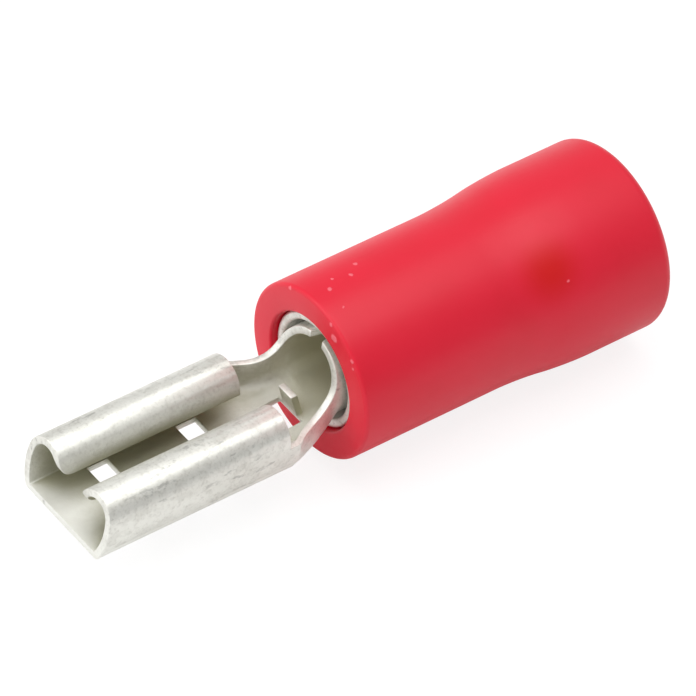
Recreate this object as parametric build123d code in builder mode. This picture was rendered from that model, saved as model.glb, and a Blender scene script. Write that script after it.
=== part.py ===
"""Insulated female spade terminal for a 2.8 mm blade, in millimetres.

A terminal folded from one tinned sheet, a tinned grip sleeve round its wire barrel, and a moulded
insulator with a flared wire entry. X runs from the blade's mouth to the wire entry and Z is up. The
origin lies under the middle of the part, level with the lowest line of the flared end.
"""

import os
from math import atan2, cos, degrees, radians, sin, sqrt, tan

from build123d import *

# Sheet and receptacle
sheet = 0.23  # thickness of the tinned sheet
floor_width = 3.38  # outside width of the receptacle's floor
receptacle_length = 6.45  # length of the rolled sides
receptacle_height = 2.04  # floor's underside to the top of the rolls
roll_radius = 0.74  # outside radius of each roll
roll_inset = 0.48  # floor's edge to the middle of the roll, across the floor
roll_start_angle = 12.0  # where the bowed wall runs into the roll, up from level
lip_length = 0.09  # straight lip that points down at the end of each roll
bend_outer_radius = 0.14  # floor to wall, outside
bend_inner_radius = 0.06  # floor to wall, inside
front_rake = 10.0  # lean of the rolled sides' front edges, back from upright
lip_corner_radius = 0.45  # rounded front corner of each lip

# Slots and detent in the floor
slot_width = 0.70  # along the blade
slot_length = 2.40  # across the floor
slot_pitch = 3.06  # front slot to rear slot
front_slot_start = 1.72  # mouth to the front slot
detent_radius = 0.50  # dimple's edge on the floor's upper face
detent_height = 0.26  # dimple's crown above the floor

# Neck
shoulder_length = 0.32  # low walls behind the rolls, before the neck narrows
neck_length = 1.88  # shoulder to the round barrel
neck_wall_height = 1.14  # floor's underside to the low rim
waist_width = 3.24  # outside width at the floor, half way along the neck
waist_corner_radius = 0.55  # outside corner there
waist_draw = 0.14  # how far the walls draw in there, up to the barrel's middle
rim_rise_length = 1.25  # distance over which the rim climbs to the barrel's top
rim_lead = 0.12  # barrel to the place that the climbing rim turns up at

# Stop tab, lanced out of the neck's floor
stop_width = 0.62
stop_height = 1.08  # floor's underside to the tab's top
stop_lean = 18.0  # lean towards the mouth, from upright
stop_setback = 1.50  # rolled sides to the tab's foot
stop_window_length = 0.60  # opening in front of the tab
stop_window_width = 1.12
stop_bend_radius = 0.20  # outside of the tab's bend

# Wire barrel
barrel_radius = 1.37  # outside
barrel_height = 1.43  # floor's underside to the barrel's middle
barrel_length = 4.60
seam_gap = 0.08  # between the rolled edges
seam_notch_width = 0.58  # V at the front of the seam
seam_notch_length = 0.70

# Grip sleeve
grip_clearance = 0.15  # barrel to grip sleeve, radially
grip_wall = 0.28
grip_recess = 0.18  # insulator's front face to the grip sleeve
grip_length = 8.70
grip_edge_radius = 0.10

# Insulator
insulator_clearance = 0.04  # grip sleeve to insulator, radially
insulator_radius = 2.72  # outside, front part
bell_radius = 2.96  # outside, flared end
bell_bore_radius = 2.10  # inside, flared end
insulator_length = 10.90
barrel_recess = 0.15  # insulator's front face to the start of the round barrel
flare_start = 5.20  # front face to the start of the flare
flare_length = 3.30
bore_flare_delay = 0.80  # start of the flare outside to its start inside
bore_flare_length = 1.60
front_edge_radius = 0.14
bell_edge_radius = 0.34
bore_edge_radius = 0.10
rest_flat_depth = 0.03  # flat underneath, where the soft sleeve lies

# Places that follow from the sizes above
neck_start = receptacle_length + shoulder_length
waist_start = neck_start + neck_length / 2
barrel_start = neck_start + neck_length
insulator_setback = barrel_start - barrel_recess
overall_length = insulator_setback + insulator_length
mouth_x = -overall_length / 2
axis_z = bell_radius
floor_z = axis_z - barrel_height
half_floor = floor_width / 2
stop_start = receptacle_length + stop_setback
front_slot_middle = front_slot_start + slot_width / 2
detent_start = front_slot_middle + slot_pitch / 2
grip_bore = barrel_radius + grip_clearance
grip_radius = grip_bore + grip_wall
insulator_bore = grip_radius + insulator_clearance
grip_bell_radius = bell_bore_radius - insulator_clearance
grip_end = insulator_setback + grip_recess + grip_length
flare_begin = insulator_setback + flare_start
flare_end = flare_begin + flare_length
bore_flare_start = flare_begin + bore_flare_delay
bore_flare_end = bore_flare_start + bore_flare_length
rest_slope = (bell_radius - insulator_radius) / (flare_end - insulator_setback)
rest_end_radius = insulator_radius + rest_slope * insulator_length
detent_ball = (detent_radius**2 + detent_height**2) / (2 * detent_height)
detent_z = sheet + detent_height - detent_ball
detent_edge_angle = degrees(atan2(sheet - detent_z, detent_radius))
reach = bell_radius + receptacle_height  # longer than any cut needs

# The wall is one arc that leaves the floor's edge, bows out and runs smoothly into the roll.
roll_y = half_floor - roll_inset
roll_z = receptacle_height - roll_radius
join_y = roll_y + roll_radius * cos(radians(roll_start_angle))
join_z = roll_z + roll_radius * sin(radians(roll_start_angle))
join_pull = (join_y - half_floor) * cos(radians(roll_start_angle)) + join_z * sin(radians(roll_start_angle))
wall_radius = ((join_y - half_floor) ** 2 + join_z**2) / (2 * join_pull)
wall_y = join_y - wall_radius * cos(radians(roll_start_angle))
wall_z = join_z - wall_radius * sin(radians(roll_start_angle))
tip_y = roll_y - roll_radius
tip_z = roll_z - lip_length
rake_slope = tan(radians(front_rake))
lip_front = (tip_z - sheet) * rake_slope
lip_corner_reach = 3 * lip_corner_radius
lean_slope = tan(radians(stop_lean))


def across(distance, height=0.0):
    """A plane across the part, by distance from the mouth and height above the floor's underside."""
    return Plane(origin=(mouth_x + distance, 0, floor_z + height), x_dir=(0, 1, 0), z_dir=(1, 0, 0))


def lengthwise(height=0.0):
    """The upright middle plane, with its origin at the mouth, by height above the floor's underside."""
    return Plane(origin=(mouth_x, 0, floor_z + height), x_dir=(1, 0, 0), z_dir=(0, -1, 0))


def level(height):
    """A level plane with its origin at the mouth, by height above the floor's underside."""
    return Plane(origin=(mouth_x, 0, floor_z + height), x_dir=(1, 0, 0), z_dir=(0, 0, 1))


def wall_point(inset, height):
    """A point on the bowed wall's outer face, or on the face set in from it, at a height."""
    return (wall_y + sqrt((wall_radius - inset) ** 2 - (height - wall_z) ** 2), height)


def wall_arc(inset, top):
    """The bowed wall from the floor's face to a height, as an arc."""
    return ThreePointArc(
        wall_point(inset, inset), wall_point(inset, (inset + top) / 2), wall_point(inset, top)
    )


def round_bends(sketch):
    """Rounds the bend between floor and wall, outside and inside."""
    fillet(sketch.vertices().sort_by_distance(wall_point(0, 0))[0], bend_outer_radius)
    fillet(sketch.vertices().sort_by_distance(wall_point(sheet, sheet))[0], bend_inner_radius)


def neck_sections(inset, bend_radius):
    """Closed sections of the neck, from shoulder to barrel, set in by inset from the outside."""
    crown = (0, barrel_height + barrel_radius - inset)
    foot = wall_point(inset, inset)
    spring_z = join_z - inset * sin(radians(roll_start_angle))
    spring = wall_point(inset, spring_z)
    waist_foot = (waist_width / 2 - inset, inset)
    waist_spring = (waist_width / 2 - inset - waist_draw, barrel_height)
    with BuildSketch(across(neck_start)) as shoulder:
        with BuildLine():
            Line((-foot[0], foot[1]), foot)
            wall = wall_arc(inset, spring_z)
            mirror(wall, about=Plane.YZ)
            ThreePointArc(spring, crown, (-spring[0], spring[1]))
        make_face()
        fillet(shoulder.vertices().group_by(Axis.Y)[0], bend_radius)
    with BuildSketch(across(waist_start)) as waist:
        with BuildLine():
            Line((-waist_foot[0], waist_foot[1]), waist_foot)
            wall = Line(waist_foot, waist_spring)
            mirror(wall, about=Plane.YZ)
            ThreePointArc(waist_spring, crown, (-waist_spring[0], waist_spring[1]))
        make_face()
        fillet(waist.vertices().group_by(Axis.Y)[0], waist_corner_radius - inset)
    with BuildSketch(across(barrel_start, barrel_height)) as ring:
        Circle(barrel_radius - inset)
    return [shoulder.sketch, waist.sketch, ring.sketch]


os.makedirs("parts", exist_ok=True)

with BuildPart() as terminal:
    # Neck: a closed tube from the shoulder to the barrel, opened along its rim
    loft(neck_sections(0, bend_outer_radius))
    loft(neck_sections(sheet, bend_inner_radius), mode=Mode.SUBTRACT)
    with BuildSketch(lengthwise()):
        with BuildLine():
            low = (neck_start, neck_wall_height)
            climb = (barrel_start - rim_rise_length, neck_wall_height)
            summit = (barrel_start, barrel_height + barrel_radius)
            Line(low, climb)
            Bezier(climb, (barrel_start - rim_lead, neck_wall_height), summit)
            Polyline(summit, (barrel_start, reach), (neck_start, reach), low)
        make_face()
    extrude(amount=reach, both=True, mode=Mode.SUBTRACT)

    # Receptacle with its rolled sides
    with BuildSketch(across(0)) as receptacle_profile:
        with BuildLine():
            Line((0, 0), wall_point(0, 0))
            wall_arc(0, join_z)
            CenterArc((roll_y, roll_z), roll_radius, roll_start_angle, 180 - roll_start_angle)
            Polyline(
                (tip_y, roll_z),
                (tip_y, tip_z),
                (tip_y + sheet, tip_z),
                (tip_y + sheet, roll_z),
            )
            CenterArc((roll_y, roll_z), roll_radius - sheet, roll_start_angle, 180 - roll_start_angle)
            wall_arc(sheet, join_z - sheet * sin(radians(roll_start_angle)))
            Polyline(wall_point(sheet, sheet), (0, sheet), (0, 0))
        make_face()
        round_bends(receptacle_profile)
        mirror(about=Plane.YZ)
    extrude(amount=receptacle_length)

    # Shoulder: the low walls behind the rolls
    with BuildSketch(across(receptacle_length)) as shoulder_profile:
        with BuildLine():
            Line((0, 0), wall_point(0, 0))
            wall_arc(0, neck_wall_height)
            Line(wall_point(0, neck_wall_height), wall_point(sheet, neck_wall_height))
            wall_arc(sheet, neck_wall_height)
            Polyline(wall_point(sheet, sheet), (0, sheet), (0, 0))
        make_face()
        round_bends(shoulder_profile)
        mirror(about=Plane.YZ)
    extrude(amount=shoulder_length)

    # Raked front edges of the rolled sides, with rounded corners at the lips
    with BuildSketch(lengthwise()):
        with BuildLine():
            Polyline(
                (0, sheet),
                ((reach - sheet) * rake_slope, reach),
                (-sheet, reach),
                (-sheet, sheet),
                close=True,
            )
        make_face()
    extrude(amount=reach, both=True, mode=Mode.SUBTRACT)
    with BuildSketch(lengthwise()):
        with BuildLine():
            corner = FilletPolyline(
                (lip_front + lip_corner_reach, tip_z),
                (lip_front, tip_z),
                (lip_front + lip_corner_reach * rake_slope, tip_z + lip_corner_reach),
                radius=lip_corner_radius,
            )
            Polyline(
                corner @ 1,
                (-sheet, tip_z + lip_corner_reach),
                (-sheet, tip_z - sheet),
                (lip_front + lip_corner_reach, tip_z - sheet),
                corner @ 0,
            )
        make_face()
    extrude(amount=tip_y + 2.5 * sheet, both=True, mode=Mode.SUBTRACT)

    # Wire barrel with its seam
    with BuildSketch(across(barrel_start, barrel_height)):
        Circle(barrel_radius)
        Circle(barrel_radius - sheet, mode=Mode.SUBTRACT)
    extrude(amount=barrel_length)
    with BuildSketch(level(barrel_height)):
        with BuildLine():
            Polyline(
                (barrel_start - rim_lead, seam_notch_width / 2),
                (barrel_start + seam_notch_length, seam_gap / 2),
                (barrel_start + barrel_length, seam_gap / 2),
                (barrel_start + barrel_length, -seam_gap / 2),
                (barrel_start + seam_notch_length, -seam_gap / 2),
                (barrel_start - rim_lead, -seam_notch_width / 2),
                close=True,
            )
        make_face()
    extrude(amount=reach, mode=Mode.SUBTRACT)

    # Cross slots through the floor
    with BuildSketch(level(0)):
        with Locations((front_slot_middle, 0), (front_slot_middle + slot_pitch, 0)):
            Rectangle(slot_width, slot_length)
    extrude(amount=2 * sheet, mode=Mode.SUBTRACT)

    # Stop tab, bent up at the rear of the window that it was lanced from
    with BuildSketch(lengthwise()):
        with BuildLine():
            CenterArc((stop_start + stop_bend_radius, stop_bend_radius), stop_bend_radius, 180, 90)
            Polyline(
                (stop_start + stop_bend_radius, 0),
                (stop_start + stop_bend_radius, -sheet),
                (stop_start - stop_window_length, -sheet),
                (stop_start - stop_window_length, 2 * sheet),
                (stop_start, 2 * sheet),
                (stop_start, stop_bend_radius),
            )
        make_face()
    extrude(amount=stop_window_width / 2, both=True, mode=Mode.SUBTRACT)
    with BuildSketch(lengthwise()):
        with BuildLine():
            Polyline(
                (stop_start, stop_bend_radius),
                (stop_start - (stop_height - stop_bend_radius) * lean_slope, stop_height),
                (stop_start - (stop_height - stop_bend_radius) * lean_slope + sheet, stop_height),
                (stop_start + sheet, stop_bend_radius),
                close=True,
            )
        make_face()
    extrude(amount=stop_width / 2, both=True)

    # Detent dimple between the slots, pressed up from below
    with BuildSketch(lengthwise()):
        with BuildLine():
            CenterArc((detent_start, detent_z), detent_ball, detent_edge_angle, 90 - detent_edge_angle)
            Polyline(
                (detent_start, sheet + detent_height),
                (detent_start, sheet),
                (detent_start + detent_radius, sheet),
            )
        make_face()
    revolve(axis=Axis((mouth_x + detent_start, 0, 0), (0, 0, 1)))
    with Locations((mouth_x + detent_start, 0, floor_z + detent_z)):
        Sphere(detent_ball - sheet, mode=Mode.SUBTRACT)
terminal.part.label = "terminal"
export_step(terminal.part, "parts/terminal.step")

with BuildPart() as grip_sleeve:
    with BuildSketch(lengthwise(barrel_height)) as grip_profile:
        with BuildLine():
            Polyline(
                (insulator_setback + grip_recess, grip_bore),
                (insulator_setback + grip_recess, grip_radius),
                (bore_flare_start, grip_radius),
                (bore_flare_end, grip_bell_radius),
                (grip_end, grip_bell_radius),
                (grip_end, grip_bell_radius - grip_wall),
                (bore_flare_end, grip_bell_radius - grip_wall),
                (bore_flare_start, grip_bore),
                close=True,
            )
        make_face()
        fillet(grip_profile.vertices().group_by(Axis.X)[0], grip_edge_radius)
        fillet(grip_profile.vertices().group_by(Axis.X)[-1], grip_edge_radius)
    revolve(axis=Axis((0, 0, axis_z), (1, 0, 0)))
grip_sleeve.part.label = "grip_sleeve"
export_step(grip_sleeve.part, "parts/grip_sleeve.step")

with BuildPart() as insulator:
    with BuildSketch(lengthwise(barrel_height)) as insulator_profile:
        with BuildLine():
            Polyline(
                (flare_begin, insulator_radius),
                (insulator_setback, insulator_radius),
                (insulator_setback, insulator_bore),
                (bore_flare_start, insulator_bore),
                (bore_flare_end, bell_bore_radius),
                (overall_length, bell_bore_radius),
                (overall_length, bell_radius),
                (flare_end, bell_radius),
            )
            Bezier(
                (flare_begin, insulator_radius),
                ((flare_begin + flare_end) / 2, insulator_radius),
                ((flare_begin + flare_end) / 2, bell_radius),
                (flare_end, bell_radius),
            )
        make_face()
        front_corners = insulator_profile.vertices().group_by(Axis.X)[0].sort_by(Axis.Y)
        rear_corners = insulator_profile.vertices().group_by(Axis.X)[-1].sort_by(Axis.Y)
        fillet(front_corners[0], bore_edge_radius)
        fillet(front_corners[-1], front_edge_radius)
        fillet(rear_corners[0], bore_edge_radius)
        fillet(rear_corners[-1], bell_edge_radius)
    revolve(axis=Axis((0, 0, axis_z), (1, 0, 0)))

    # Flat underneath, in the plane that the front edge and the flared end lie on
    with BuildSketch(lengthwise(barrel_height)):
        with BuildLine():
            Polyline(
                (insulator_setback, rest_flat_depth - insulator_radius),
                (overall_length, rest_flat_depth - rest_end_radius),
                (overall_length, -reach),
                (insulator_setback, -reach),
                close=True,
            )
        make_face()
    extrude(amount=bell_radius, both=True, mode=Mode.SUBTRACT)
insulator.part.label = "insulator"
export_step(insulator.part, "parts/insulator.step")
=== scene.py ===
"""Studio scene of an insulated female spade terminal, laid out as a Blender add-on.

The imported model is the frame. Each operator makes one piece of the terminal with its finish, and the
last one sets up the floor, the lights and the camera. Lengths are in metres, in the frame's axes:
X runs from the blade's mouth to the wire entry and Z is up.
"""

from math import cos, pi, radians, sin

import bmesh
import bpy
from bpy.props import FloatProperty, FloatVectorProperty, IntProperty, PointerProperty
from mathutils import Matrix, Vector


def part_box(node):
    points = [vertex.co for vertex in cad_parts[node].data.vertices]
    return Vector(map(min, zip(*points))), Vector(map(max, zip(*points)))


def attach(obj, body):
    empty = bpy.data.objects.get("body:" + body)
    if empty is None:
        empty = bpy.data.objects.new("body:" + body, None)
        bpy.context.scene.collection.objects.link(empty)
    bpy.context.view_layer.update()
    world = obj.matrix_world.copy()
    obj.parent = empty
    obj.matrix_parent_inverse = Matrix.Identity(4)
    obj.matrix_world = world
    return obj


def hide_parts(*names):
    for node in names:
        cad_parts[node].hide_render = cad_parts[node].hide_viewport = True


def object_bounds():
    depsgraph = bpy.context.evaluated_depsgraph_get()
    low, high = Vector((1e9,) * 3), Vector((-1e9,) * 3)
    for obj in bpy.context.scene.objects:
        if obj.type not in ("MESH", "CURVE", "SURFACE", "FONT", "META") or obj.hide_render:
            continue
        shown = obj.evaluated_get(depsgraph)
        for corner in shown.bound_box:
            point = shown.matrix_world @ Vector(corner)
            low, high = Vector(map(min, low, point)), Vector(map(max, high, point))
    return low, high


bl_info = {
    "name": "Female Spade Terminal",
    "version": (1, 0, 0),
    "blender": (4, 5, 0),
    "location": "View3D > Sidebar > Terminal",
    "description": "Dresses the packed spade terminal and sets up its studio",
    "category": "Object",
}

MM = 0.001

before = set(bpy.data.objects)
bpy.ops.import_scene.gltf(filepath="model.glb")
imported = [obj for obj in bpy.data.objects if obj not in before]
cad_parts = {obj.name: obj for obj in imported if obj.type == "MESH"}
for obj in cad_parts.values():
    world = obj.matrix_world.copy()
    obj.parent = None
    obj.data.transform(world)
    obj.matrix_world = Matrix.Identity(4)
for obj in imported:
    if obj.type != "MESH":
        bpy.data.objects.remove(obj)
cad_low, cad_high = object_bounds()
insulator_low, insulator_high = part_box("insulator")
grip_low, grip_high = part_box("grip_sleeve")
terminal_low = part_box("terminal")[0]
AXIS_Z = (insulator_low.z + insulator_high.z) / 2

# Mesh work: points closer than this are one, and a tube's bends have this rounding and these steps.
MERGE_DISTANCE = 1e-7
TUBE_BEND = (0.2 * MM, 4)

# Zones of painted light and shade on the plating, each from where it begins to change to where the change is
# full: the floor is painted lighter and the rolls' facing flanks darker.
FLOOR_FACE = (1.80 * MM, 1.95 * MM)  # heights just above the receptacle's floor
ROLL_FOOT = (2.30 * MM, 2.60 * MM)  # heights below the rolls
ROLL_END = (-3.30 * MM, -3.10 * MM)  # places along X behind the rolls
ROLL_FLANK = (0.55 * MM, 1.05 * MM)  # distances from the middle plane, from the lips to the rolls' tops
BARREL_MOUTH = (-2.2 * MM, -1.0 * MM)  # places along X at the barrel's front

# Painted shade on the vinyl where the flare begins, a dark reflection painted into the colour: its middle in
# millimetres, and the distances between which it fades out.
SHADE_PATCH_MIDDLE = (5.71, -1.95, 5.02)
SHADE_PATCH_FADE = (0.1 * MM, 1.3 * MM)

# Pale flecks on the vinyl: place and radius in millimetres.
FLECKS = (
    (-1.20, -0.93, 5.08, 0.15),
    (-1.20, -0.73, 5.45, 0.07),
    (-1.20, -1.79, 4.87, 0.08),
    (-1.20, -1.87, 4.66, 0.06),
    (-1.20, 1.20, 5.30, 0.08),
    (-0.60, -0.47, 5.62, 0.06),
    (-0.51, 0.27, 5.67, 0.09),
    (-0.18, 0.61, 5.61, 0.06),
    (0.35, 0.43, 5.65, 0.08),
    (0.77, 0.79, 5.56, 0.08),
    (6.11, -2.32, 4.68, 0.06),
)

# Studio: places and sizes of the lamps, the card and the floor.
KEY_PLACE = (0.02, 0.0, 0.40)
KEY_SIZE = 0.34
SIDE_PLACE = (-0.26, 0.12, 0.18)
SIDE_SIZE = 0.24
CARD_PLACE = (-0.02, -0.26, 0.13)
CARD_SIZE = (0.64, 0.28)
FLOOR_REACH = 1.5


def length(name, description, default):
    """A length in metres that the sidebar shows with its unit."""
    return FloatProperty(
        name=name, description=description, default=default, subtype="DISTANCE", unit="LENGTH", precision=6
    )


def amount(name, description, default, low=0.0, high=1.0):
    """A plain number with a range."""
    return FloatProperty(name=name, description=description, default=default, min=low, max=high)


def colour(name, description, default):
    """A linear colour."""
    return FloatVectorProperty(
        name=name, description=description, default=default, size=3, min=0.0, max=1.0, subtype="COLOR"
    )


class TerminalSettings(bpy.types.PropertyGroup):
    """Sheet-metal terminal and its tin plating."""

    edge_softness: length("Edge softness", "Width of the rounding on the sheared edges", 0.022 * MM)
    tin: colour("Tin", "Plating on open faces", (0.93, 0.93, 0.875))
    dull_tin: colour("Dull tin", "Duller blotches of the plating", (0.62, 0.61, 0.555))
    # The next two colours are painted shade: darker inside the folds, and a lighter shade inside the barrel.
    recess_shade: colour("Recess shade", "Plating inside the folds", (0.44, 0.43, 0.305))
    barrel_shade: colour("Deep recess", "Plating inside the barrel", (0.62, 0.60, 0.455))
    # Painted shade on the rolls' flanks that face each other.
    flank_shade: colour("Flank shade", "Plating on the rolls where they face each other", (0.46, 0.45, 0.385))
    scuff: colour("Scuff", "Small dark rub marks", (0.34, 0.335, 0.31))
    # Reach of the painted shade in the folds.
    shade_reach: length("Shade reach", "How far away a face still dulls the plating", 2.6 * MM)
    roughness: amount("Roughness", "Middle roughness of the plating", 0.49)
    mottle_scale: FloatProperty(name="Mottle scale", description="Blotches per metre", default=2600.0)
    scratch_depth: length("Scratch depth", "Height of the drawing marks", 0.006 * MM)


class SleeveSettings(bpy.types.PropertyGroup):
    """Grip sleeve between barrel and insulator."""

    bore_radius: length("Bore radius", "Inside radius round the barrel", 1.52 * MM)
    wall: length("Wall", "Wall thickness", 0.28 * MM)
    flare_start: length("Flare start", "Place along X where the sleeve widens", 4.80 * MM)
    flare_end: length("Flare end", "Place along X where the wide part begins", 6.40 * MM)
    edge_radius: length("Edge radius", "Rounding of both ends", 0.10 * MM)
    segments: IntProperty(name="Segments", description="Steps of the spin", default=128, min=24)
    tin: colour("Tin", "Plating of the sleeve", (0.95, 0.94, 0.90))


class InsulatorSettings(bpy.types.PropertyGroup):
    """Moulded vinyl insulator."""

    radius: length("Radius", "Outside radius of the front part", 2.72 * MM)
    bore_radius: length("Bore radius", "Inside radius of the front part", 1.84 * MM)
    bell_bore_radius: length("Bell bore radius", "Inside radius of the flared end", 2.10 * MM)
    flare_start: length("Flare start", "Place along X where the outside widens", 4.00 * MM)
    flare_end: length("Flare end", "Place along X where the flared end is full", 7.30 * MM)
    bore_flare_start: length("Bore flare start", "Place along X where the bore widens", 4.80 * MM)
    bore_flare_end: length("Bore flare end", "Place along X where the wide bore begins", 6.40 * MM)
    front_edge: length("Front edge", "Rounding of the front's outer edge", 0.14 * MM)
    bell_edge: length("Bell edge", "Rounding of the flared end's outer edge", 0.34 * MM)
    bore_edge: length("Bore edge", "Rounding of both inner edges", 0.10 * MM)
    segments: IntProperty(name="Segments", description="Steps of the spin", default=160, min=24)
    vinyl: colour("Vinyl", "Colour of the vinyl", (0.77, 0.0085, 0.034))
    deep_vinyl: colour("Deep vinyl", "Darker streaks in the vinyl", (0.71, 0.0075, 0.026))
    # Painted shade: a dark reflection painted into the vinyl where the flare begins.
    shade_patch_vinyl: colour("Shade patch", "Deep patch where the flare begins", (0.66, 0.001, 0.003))
    fleck: colour("Fleck", "Pale flecks of shaved vinyl", (0.95, 0.20, 0.25))
    roughness: amount("Roughness", "Middle roughness of the moulded skin", 0.40)


class StudioSettings(bpy.types.PropertyGroup):
    """Camera, lights and floor."""

    azimuth: FloatProperty(
        name="Azimuth",
        description="Camera's turn from looking along Y",
        default=radians(-40.9455),
        subtype="ANGLE",
    )
    elevation: FloatProperty(
        name="Elevation", description="Camera's height angle", default=radians(44.4922), subtype="ANGLE"
    )
    roll: FloatProperty(
        name="Roll", description="Camera's turn in the picture", default=radians(6.1409), subtype="ANGLE"
    )
    distance: length("Distance", "Camera to the middle of the terminal", 213.21 * MM)
    aim: FloatVectorProperty(
        name="Aim",
        description="Point near the middle of the terminal",
        default=(-0.278 * MM, 0.0, 2.96 * MM),
        size=3,
        subtype="TRANSLATION",
        unit="LENGTH",
        precision=6,
    )
    slide: FloatVectorProperty(
        name="Slide",
        description="Camera's move across and up the picture",
        default=(0.3657 * MM, 0.3369 * MM),
        size=2,
        unit="LENGTH",
        precision=6,
    )
    lens: FloatProperty(name="Lens", description="Focal length in millimetres", default=388.83)
    key_power: FloatProperty(name="Key power", description="Large lamp above", default=0.79, unit="POWER")
    side_power: FloatProperty(
        name="Side power", description="Lamp beyond the mouth", default=0.45, unit="POWER"
    )
    ambient: amount("Ambient", "Light from all round", 0.545)
    floor_glow: amount("Floor glow", "Share of the floor's white that no shadow touches", 0.84)
    mirrored_glow: amount("Mirrored glow", "Share of the white that shiny surfaces mirror", 0.15)


class Field:
    """A shader socket in Python expressions: arithmetic on it adds Math nodes."""

    def __init__(self, tree, socket=None):
        self.tree = tree
        self.socket = socket

    def node(self, kind, settings=None, inputs=None, output=0):
        """Adds a node of a type, sets its settings, then its sockets, and gives one output."""
        made = self.tree.nodes.new(kind)
        for key, value in (settings or {}).items():
            setattr(made, key, value)
        for key, value in (inputs or {}).items():
            if isinstance(value, Field):
                self.tree.links.new(value.socket, made.inputs[key])
            else:
                made.inputs[key].default_value = value
        return Field(self.tree, made.outputs[output])

    def math(self, operation, *values):
        """A Math node on this socket and others."""
        return self.node("ShaderNodeMath", {"operation": operation}, dict(enumerate((self,) + values)))

    def __add__(self, other):
        return self.math("ADD", other)

    __radd__ = __add__

    def __mul__(self, other):
        return self.math("MULTIPLY", other)

    __rmul__ = __mul__

    def __sub__(self, other):
        return self.math("SUBTRACT", other)

    def __rsub__(self, other):
        return self.node("ShaderNodeMath", {"operation": "SUBTRACT"}, {0: other, 1: self})

    def band(self, low, high):
        """0 below low, 1 above high and a smooth rise between."""
        return self.node(
            "ShaderNodeMapRange",
            {"interpolation_type": "SMOOTHSTEP", "clamp": True},
            {"Value": self, "From Min": low, "From Max": high},
        )

    def mix(self, first, second):
        """A colour between two, by this value."""
        return self.node(
            "ShaderNodeMix",
            {"data_type": "RGBA", "clamp_factor": True},
            {0: self, 6: paint(first), 7: paint(second)},
            output=2,
        )


def paint(value):
    """A colour socket's value: a socket as it is, or three numbers with full alpha."""
    return value if isinstance(value, Field) else (value[0], value[1], value[2], 1.0)


def start_material(name):
    """A new node material: its Principled shader, and a Field to grow the nodes from."""
    material = bpy.data.materials.new(name)
    material.use_nodes = True
    return material, material.node_tree.nodes["Principled BSDF"], Field(material.node_tree)


def connect(field, shader, socket):
    """Links a field to one of the shader's sockets."""
    field.tree.links.new(field.socket, shader.inputs[socket])


def noise(grow, place, scale, detail=2.0, roughness=0.5):
    """A noise texture over a coordinate."""
    sockets = {"Vector": place, "Scale": scale, "Detail": detail, "Roughness": roughness}
    return grow.node("ShaderNodeTexNoise", {}, sockets)


def tin_material(name, settings, plating):
    """Satin tin plating: blotches, drawing marks along X and scuffs, with painted shade in the folds and on
    the rolls' facing flanks, painted light on the floor, and matte recesses.
    """
    material, shader, grow = start_material(name)
    place = grow.node("ShaderNodeTexCoord", output="Object")
    scale = settings.mottle_scale
    blotch = noise(grow, place, scale, 4.0, 0.6)
    grain = noise(grow, place, scale * 4, 3.0, 0.65)
    drawn = grow.node("ShaderNodeMapping", {}, {"Vector": place, "Scale": (0.25, 1.0, 1.0)})
    marks = noise(grow, drawn, scale * 5, 2.0, 0.55)
    open_air = grow.node(
        "ShaderNodeAmbientOcclusion",
        {"samples": 12, "only_local": True},
        {"Distance": settings.shade_reach},
        output="AO",
    )
    handled = open_air.band(0.80, 0.98)
    patch = noise(grow, drawn, scale * 0.4)
    along = grow.node("ShaderNodeSeparateXYZ", {}, {0: place}, output="X")
    across = grow.node("ShaderNodeSeparateXYZ", {}, {0: place}, output="Y").math("ABSOLUTE")
    height = grow.node("ShaderNodeSeparateXYZ", {}, {0: place}, output="Z")
    # Painted light: the floor below these heights is kept less dull, as if light falls on it.
    floor_light = 1 - height.band(*FLOOR_FACE)
    dull = patch.band(0.40, 0.62) * 0.25 + blotch.band(0.42, 0.66) * 0.30 + grain.band(0.48, 0.70) * 0.28
    dull = (dull + handled * 0.08) * (1 - floor_light * 0.8)
    open_tin = dull.mix(plating, settings.dull_tin)
    # Painted shade: the rolls' flanks that face each other get a darker colour.
    in_rolls = height.band(*ROLL_FOOT) * (1 - along.band(*ROLL_END))
    flank_shade = (1 - across.band(*ROLL_FLANK)) * in_rolls
    open_tin = (flank_shade * 0.35).mix(open_tin, settings.flank_shade)
    scuffed = grow.node(
        "ShaderNodeMapping", {}, {"Vector": place, "Scale": (0.30, 1.0, 0.8), "Rotation": (0.3, 0.5, 0.4)}
    )
    scuff = noise(grow, scuffed, scale * 1.8, 4.0, 0.7)
    worn = scuff.band(0.57, 0.66) * patch.band(0.47, 0.60) * handled
    open_tin = (worn * 0.5).mix(open_tin, settings.scuff)
    # Painted shade: faces that the terminal itself hides from light get a darker colour, and a lighter one
    # inside the barrel.
    fold_shade = 1 - open_air.band(0.47, 0.58)
    recess_shade = along.band(*BARREL_MOUTH).mix(settings.recess_shade, settings.barrel_shade)
    connect(fold_shade.mix(open_tin, recess_shade), shader, "Base Color")
    sheltered = 1 - open_air.band(0.50, 0.95)
    connect(0.85 - sheltered * 0.45, shader, "Metallic")
    connect(settings.roughness - 0.08 + blotch * 0.10 + marks * 0.08 + sheltered * 0.25, shader, "Roughness")
    relief = marks * 0.6 + grain * 0.6 + blotch * 1.0
    height_of_marks = {"Strength": 0.8, "Distance": settings.scratch_depth, "Height": relief}
    bump = grow.node("ShaderNodeBump", {}, height_of_marks)
    connect(bump, shader, "Normal")
    return material


def distance(grow, place, spot):
    """How far a coordinate is from a spot given in millimetres."""
    spot = Vector(spot) * MM
    return grow.node("ShaderNodeVectorMath", {"operation": "DISTANCE"}, {0: place, 1: spot}, output="Value")


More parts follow.
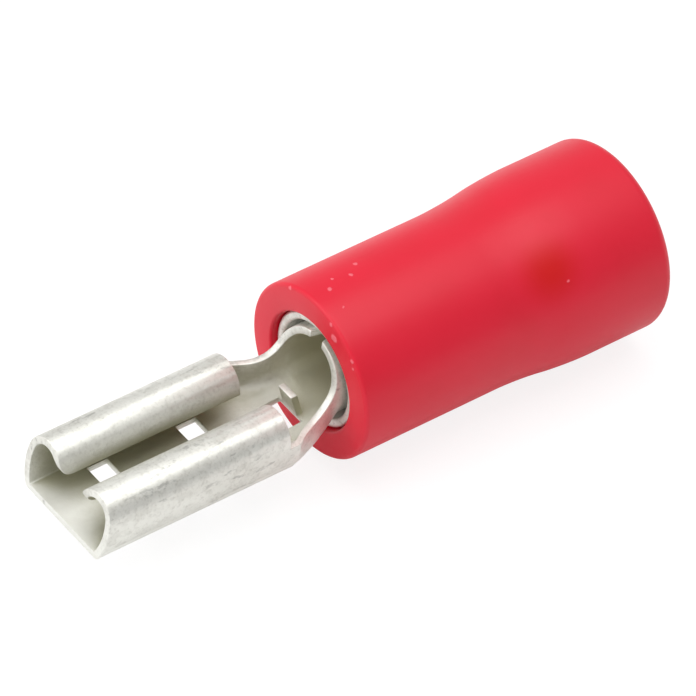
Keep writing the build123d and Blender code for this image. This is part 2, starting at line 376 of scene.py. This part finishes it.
def vinyl_material(settings):
    """Moulded vinyl: faint streaks, a fine skin, a patch of painted shade near the flare and pale flecks."""
    material, shader, grow = start_material("red_vinyl_skin")
    place = grow.node("ShaderNodeTexCoord", output="Object")
    cloud = noise(grow, place, 420.0, 3.0, 0.55)
    skin = noise(grow, place, 5200.0, 3.0, 0.6)
    base = (cloud.band(0.35, 0.75) * 0.5).mix(settings.vinyl, settings.deep_vinyl)
    # Painted shade: a darker patch where the flare begins, a dark reflection painted into the colour.
    shade_patch = 1 - distance(grow, place, SHADE_PATCH_MIDDLE).band(*SHADE_PATCH_FADE)
    base = shade_patch.mix(base, settings.shade_patch_vinyl)
    ragged = grow.node("ShaderNodeTexNoise", {}, {"Vector": place, "Scale": 9000.0}, output="Color")
    shift = grow.node(
        "ShaderNodeVectorMath",
        {"operation": "MULTIPLY_ADD"},
        {0: ragged, 1: (0.10 * MM,) * 3, 2: (-0.05 * MM,) * 3},
    )
    torn = grow.node("ShaderNodeVectorMath", {"operation": "ADD"}, {0: place, 1: shift})
    crumbs = None
    for x, y, z, size in FLECKS:
        crumb = 1 - distance(grow, torn, (x, y, z)).band(0.55 * size * MM, size * MM)
        crumbs = crumb if crumbs is None else crumbs.math("MAXIMUM", crumb)
    connect((crumbs * 0.7).mix(base, settings.fleck), shader, "Base Color")
    connect(settings.roughness - 0.05 + skin * 0.10, shader, "Roughness")
    relief = skin * 0.5 + cloud * 2.0 + crumbs * 30.0
    bump = grow.node("ShaderNodeBump", {}, {"Strength": 0.25, "Distance": 0.004 * MM, "Height": relief})
    connect(bump, shader, "Normal")
    shader.inputs["Specular IOR Level"].default_value = 0.42
    return material


def finish_piece(name, mesh_bm, material, node, sharp_angle):
    """Turns a bmesh into a piece that rides on the frame in place of a CAD node."""
    mesh = bpy.data.meshes.new(name)
    mesh_bm.to_mesh(mesh)
    mesh_bm.free()
    mesh.polygons.foreach_set("use_smooth", [True] * len(mesh.polygons))
    mesh.set_sharp_from_angle(angle=sharp_angle)
    mesh.materials.append(material)
    piece = bpy.data.objects.new(name, mesh)
    bpy.context.scene.collection.objects.link(piece)
    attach(piece, "root")
    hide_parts(node)
    return piece


def spin_profile(corners, roundings, segments):
    """Spins a closed profile of (x, radius) corners round the axis, each corner rounded as given."""
    profile = bmesh.new()
    points = [profile.verts.new((x, 0.0, AXIS_Z + radius)) for x, radius in corners]
    profile.faces.new(points)
    for (x, radius), (rounding, steps) in zip(corners, roundings):
        if rounding > 0.0:
            corner = min(profile.verts, key=lambda v: (v.co - Vector((x, 0.0, AXIS_Z + radius))).length)
            bmesh.ops.bevel(
                profile,
                geom=[corner],
                offset=rounding,
                offset_type="OFFSET",
                segments=steps,
                profile=0.5,
                affect="VERTICES",
                material=-1,
            )
    bmesh.ops.delete(profile, geom=profile.faces[:], context="FACES_ONLY")
    bmesh.ops.spin(
        profile,
        geom=profile.verts[:] + profile.edges[:],
        cent=(0.0, 0.0, AXIS_Z),
        axis=(1.0, 0.0, 0.0),
        angle=2 * pi,
        steps=segments,
        use_merge=True,
    )
    bmesh.ops.remove_doubles(profile, verts=profile.verts[:], dist=MERGE_DISTANCE)
    bmesh.ops.recalc_face_normals(profile, faces=profile.faces[:])
    return profile


class TERMINAL_OT_sheet_metal(bpy.types.Operator):
    """Make the folded sheet-metal terminal, with softened edges and tin plating"""

    bl_idname = "terminal.sheet_metal"
    bl_label = "Sheet Metal"

    def execute(self, context):
        settings = context.scene.terminal_metal
        sheet = bmesh.new()
        sheet.from_mesh(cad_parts["terminal"].data)
        bmesh.ops.remove_doubles(sheet, verts=sheet.verts[:], dist=MERGE_DISTANCE)
        bmesh.ops.dissolve_limit(
            sheet,
            angle_limit=radians(0.5),
            verts=sheet.verts[:],
            edges=sheet.edges[:],
            use_dissolve_boundaries=False,
        )
        sheared = [edge for edge in sheet.edges if edge.calc_face_angle(0.0) > radians(50)]
        bmesh.ops.bevel(
            sheet,
            geom=sheared,
            offset=settings.edge_softness,
            offset_type="OFFSET",
            segments=2,
            profile=0.5,
            affect="EDGES",
            clamp_overlap=False,
            material=-1,
        )
        # The softened front edges stay inside the model's box.
        for vert in sheet.verts:
            vert.co.x = max(vert.co.x, terminal_low.x)
        material = tin_material("tin_plating", settings, settings.tin)
        piece = finish_piece("terminal_metal", sheet, material, "terminal", radians(40))
        weighted = piece.modifiers.new("even_normals", "WEIGHTED_NORMAL")
        weighted.keep_sharp = True
        return {"FINISHED"}


class TERMINAL_OT_grip_sleeve(bpy.types.Operator):
    """Make the tinned grip sleeve round the wire barrel"""

    bl_idname = "terminal.grip_sleeve"
    bl_label = "Grip Sleeve"

    def execute(self, context):
        sizes = context.scene.terminal_sleeve
        bore = sizes.bore_radius
        outside = bore + sizes.wall
        wide = grip_high.z - AXIS_Z
        corners = (
            (grip_low.x, bore),
            (grip_low.x, outside),
            (sizes.flare_start, outside),
            (sizes.flare_end, wide),
            (grip_high.x, wide),
            (grip_high.x, wide - sizes.wall),
            (sizes.flare_end, wide - sizes.wall),
            (sizes.flare_start, bore),
        )
        end = (sizes.edge_radius, 4)
        bends = (TUBE_BEND, TUBE_BEND)
        roundings = (end, end, *bends, end, end, *bends)
        tube = spin_profile(corners, roundings, sizes.segments)
        material = tin_material("tin_sleeve_plating", context.scene.terminal_metal, sizes.tin)
        finish_piece("grip_sleeve_metal", tube, material, "grip_sleeve", radians(40))
        return {"FINISHED"}


class TERMINAL_OT_insulator(bpy.types.Operator):
    """Make the moulded vinyl insulator with its flared wire entry"""

    bl_idname = "terminal.insulator"
    bl_label = "Insulator"

    def execute(self, context):
        sizes = context.scene.terminal_insulator
        bell = insulator_high.z - AXIS_Z
        quarter = (sizes.flare_end - sizes.flare_start) / 4
        corners = (
            (insulator_low.x, sizes.bore_radius),
            (insulator_low.x, sizes.radius),
            (sizes.flare_start + quarter, sizes.radius),
            (sizes.flare_end - quarter, bell),
            (insulator_high.x, bell),
            (insulator_high.x, sizes.bell_bore_radius),
            (sizes.bore_flare_end, sizes.bell_bore_radius),
            (sizes.bore_flare_start, sizes.bore_radius),
        )
        sweep = (quarter * 0.98, 14)
        inner = (sizes.bore_edge, 5)
        front, bell_end = (sizes.front_edge, 6), (sizes.bell_edge, 10)
        roundings = (inner, front, sweep, sweep, bell_end, inner, TUBE_BEND, TUBE_BEND)
        tube = spin_profile(corners, roundings, sizes.segments)
        finish_piece("insulator_vinyl", tube, vinyl_material(sizes), "insulator", radians(50))
        return {"FINISHED"}


def area_lamp(name, place, aim, size, power):
    """A square soft lamp that faces a point."""
    lamp = bpy.data.lights.new(name, "AREA")
    lamp.shape = "SQUARE"
    lamp.size = size
    lamp.energy = power
    holder = bpy.data.objects.new(name, lamp)
    holder.location = place
    holder.rotation_euler = (Vector(aim) - Vector(place)).to_track_quat("-Z", "Y").to_euler()
    bpy.context.scene.collection.objects.link(holder)


def seen_white(grow, mirrored):
    """1 for camera and transmission rays, a given share for glossy rays, and 0 for the rest."""
    direct = grow.node("ShaderNodeLightPath", output="Is Camera Ray")
    glossy = grow.node("ShaderNodeLightPath", output="Is Glossy Ray")
    through = grow.node("ShaderNodeLightPath", output="Is Transmission Ray")
    return direct.math("MAXIMUM", glossy * mirrored).math("MAXIMUM", through)


class TERMINAL_OT_studio(bpy.types.Operator):
    """Set up the pale floor, the lamps and the camera"""

    bl_idname = "terminal.studio"
    bl_label = "Studio"

    def execute(self, context):
        studio = context.scene.terminal_studio
        self.make_floor(studio)
        self.make_lights(studio)
        self.make_camera(studio)
        context.scene.view_settings.view_transform = "Standard"
        return {"FINISHED"}

    def make_floor(self, studio):
        """A wide pale floor that shows white, with the terminal's soft shadow."""
        plane = bmesh.new()
        bmesh.ops.create_grid(plane, x_segments=1, y_segments=1, size=FLOOR_REACH)
        bmesh.ops.translate(plane, verts=plane.verts[:], vec=(0.0, 0.0, cad_low.z))
        mesh = bpy.data.meshes.new("floor")
        plane.to_mesh(mesh)
        plane.free()
        material = bpy.data.materials.new("floor_paper")
        material.use_nodes = True
        tree = material.node_tree
        tree.nodes.clear()
        grow = Field(tree)
        paper = grow.node("ShaderNodeBsdfDiffuse", {}, {"Color": (0.88, 0.88, 0.88, 1.0)})
        shaded = grow.node("ShaderNodeBsdfDiffuse", {}, {"Color": (0.24, 0.24, 0.24, 1.0)})
        glow = grow.node("ShaderNodeEmission", {}, {"Strength": studio.floor_glow})
        white = grow.node("ShaderNodeAddShader", {}, {0: shaded, 1: glow})
        seen = seen_white(grow, studio.mirrored_glow)
        surface = grow.node("ShaderNodeMixShader", {}, {0: seen, 1: paper, 2: white})
        out = tree.nodes.new("ShaderNodeOutputMaterial")
        tree.links.new(surface.socket, out.inputs["Surface"])
        mesh.materials.append(material)
        floor = bpy.data.objects.new("floor", mesh)
        bpy.context.scene.collection.objects.link(floor)

    def make_lights(self, studio):
        """A large lamp above, a weaker one beyond the mouth, and light from all round."""
        aim = Vector(studio.aim)
        area_lamp("key_lamp", KEY_PLACE, aim, KEY_SIZE, studio.key_power)
        area_lamp("side_lamp", SIDE_PLACE, aim, SIDE_SIZE, studio.side_power)
        self.make_flag(aim)
        world = bpy.data.worlds.new("white_surround")
        world.use_nodes = True
        tree = world.node_tree
        tree.nodes.clear()
        grow = Field(tree)
        strength = seen_white(grow, studio.mirrored_glow) * (1.0 - studio.ambient) + studio.ambient
        sky = {"Color": (1.0, 1.0, 1.0, 1.0), "Strength": strength}
        surround = grow.node("ShaderNodeBackground", {}, sky)
        out = tree.nodes.new("ShaderNodeOutputWorld")
        tree.links.new(surround.socket, out.inputs["Surface"])
        bpy.context.scene.world = world

    def make_flag(self, aim):
        """A grey card on the near side, which dims the light that comes from there."""
        place = Vector(CARD_PLACE)
        card = bmesh.new()
        bmesh.ops.create_grid(card, x_segments=1, y_segments=1, size=0.5)
        bmesh.ops.scale(card, vec=(*CARD_SIZE, 1.0), verts=card.verts[:])
        facing = (aim - place).to_track_quat("-Z", "Y").to_matrix().to_4x4()
        bmesh.ops.transform(card, matrix=Matrix.Translation(place) @ facing, verts=card.verts[:])
        mesh = bpy.data.meshes.new("flag_card")
        card.to_mesh(mesh)
        card.free()
        material, shader, grow = start_material("flag_cloth")
        place_on_card = grow.node("ShaderNodeTexCoord", output="Object")
        weave = noise(grow, place_on_card, 900.0)
        connect(weave.mix((0.43, 0.43, 0.43), (0.49, 0.49, 0.49)), shader, "Base Color")
        mesh.materials.append(material)
        flag = bpy.data.objects.new("flag_card", mesh)
        flag.visible_camera = False
        flag.visible_shadow = False
        bpy.context.scene.collection.objects.link(flag)

    def make_camera(self, studio):
        """The photograph's view."""
        turn, lift = studio.azimuth, studio.elevation
        back = Vector((sin(turn) * cos(lift), -cos(turn) * cos(lift), sin(lift)))
        right = Vector((cos(turn), sin(turn), 0.0))
        level = Matrix((right, back.cross(right), back)).transposed()
        axes = level @ Matrix.Rotation(studio.roll, 3, "Z")
        across, up = axes.col[0], axes.col[1]
        place = Vector(studio.aim) + studio.slide[0] * across + studio.slide[1] * up + studio.distance * back
        lens = bpy.data.cameras.new("camera")
        lens.sensor_width = 36.0
        lens.lens = studio.lens
        lens.clip_start = 0.01
        lens.clip_end = 10.0
        camera = bpy.data.objects.new("camera", lens)
        camera.matrix_world = Matrix.Translation(place) @ axes.to_4x4()
        bpy.context.scene.collection.objects.link(camera)
        bpy.context.scene.camera = camera


class TERMINAL_PT_sidebar(bpy.types.Panel):
    """Lists the pieces and their settings"""

    bl_idname = "TERMINAL_PT_sidebar"
    bl_label = "Spade Terminal"
    bl_space_type = "VIEW_3D"
    bl_region_type = "UI"
    bl_category = "Terminal"

    def draw(self, context):
        scene = context.scene
        groups = (
            ("terminal.sheet_metal", scene.terminal_metal),
            ("terminal.grip_sleeve", scene.terminal_sleeve),
            ("terminal.insulator", scene.terminal_insulator),
            ("terminal.studio", scene.terminal_studio),
        )
        for operator, settings in groups:
            box = self.layout.box()
            box.operator(operator)
            for name in settings.__annotations__:
                box.prop(settings, name)


CLASSES = (
    TerminalSettings,
    SleeveSettings,
    InsulatorSettings,
    StudioSettings,
    TERMINAL_OT_sheet_metal,
    TERMINAL_OT_grip_sleeve,
    TERMINAL_OT_insulator,
    TERMINAL_OT_studio,
    TERMINAL_PT_sidebar,
)


def register():
    for cls in CLASSES:
        bpy.utils.register_class(cls)
    bpy.types.Scene.terminal_metal = PointerProperty(type=TerminalSettings)
    bpy.types.Scene.terminal_sleeve = PointerProperty(type=SleeveSettings)
    bpy.types.Scene.terminal_insulator = PointerProperty(type=InsulatorSettings)
    bpy.types.Scene.terminal_studio = PointerProperty(type=StudioSettings)


def unregister():
    del bpy.types.Scene.terminal_studio
    del bpy.types.Scene.terminal_insulator
    del bpy.types.Scene.terminal_sleeve
    del bpy.types.Scene.terminal_metal
    for cls in reversed(CLASSES):
        bpy.utils.unregister_class(cls)


def main():
    register()
    bpy.ops.terminal.sheet_metal()
    bpy.ops.terminal.grip_sleeve()
    bpy.ops.terminal.insulator()
    bpy.ops.terminal.studio()


if __name__ == "__main__":
    main()
